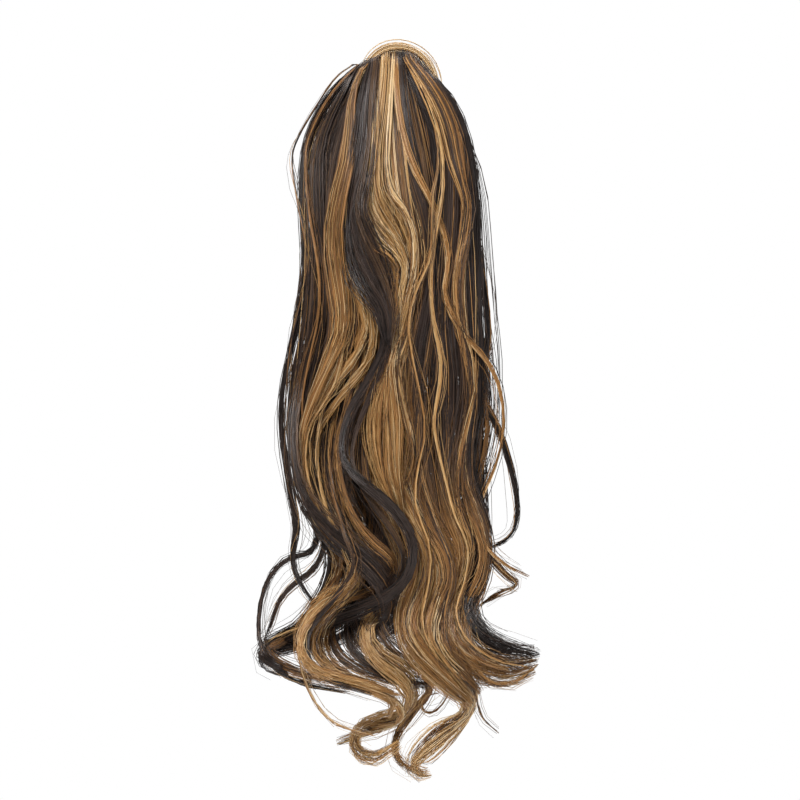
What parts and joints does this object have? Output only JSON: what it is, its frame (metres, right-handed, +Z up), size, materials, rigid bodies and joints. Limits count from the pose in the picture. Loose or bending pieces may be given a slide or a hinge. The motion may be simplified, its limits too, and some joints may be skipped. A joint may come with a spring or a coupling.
{
  "type": "clip-in ponytail hair extension",
  "caption": "Long wavy clip-in ponytail of dark brown hair with honey-blonde locks, on a hollow strap base with a comb and a pale lock wound round it.",
  "frame": {"origin": "middle of the strap base, where it clips on behind the head", "axes": "+Z up, along the hanging tail; -Y away from the head, the side the tail falls on; +X to the right seen from behind"},
  "size_m": [0.1902, 0.1183, 0.4688],
  "materials": {
    "strap_cloth": "dark brown hook-and-loop cloth",
    "comb_plastic": "dark brown moulded plastic",
    "wrap_hair": "pale honey hair fibre, silky",
    "dark_hair": "dark brown hair fibre, silky",
    "honey_hair": "honey-blonde hair fibre, silky"
  },
  "bodies": {
    "root": {"wrap_strap": "strap_cloth", "clip_comb": "comb_plastic", "wrap_lock": "wrap_hair", "dark_locks": "dark_hair", "honey_locks": "honey_hair"}
  },
  "joints": []
}
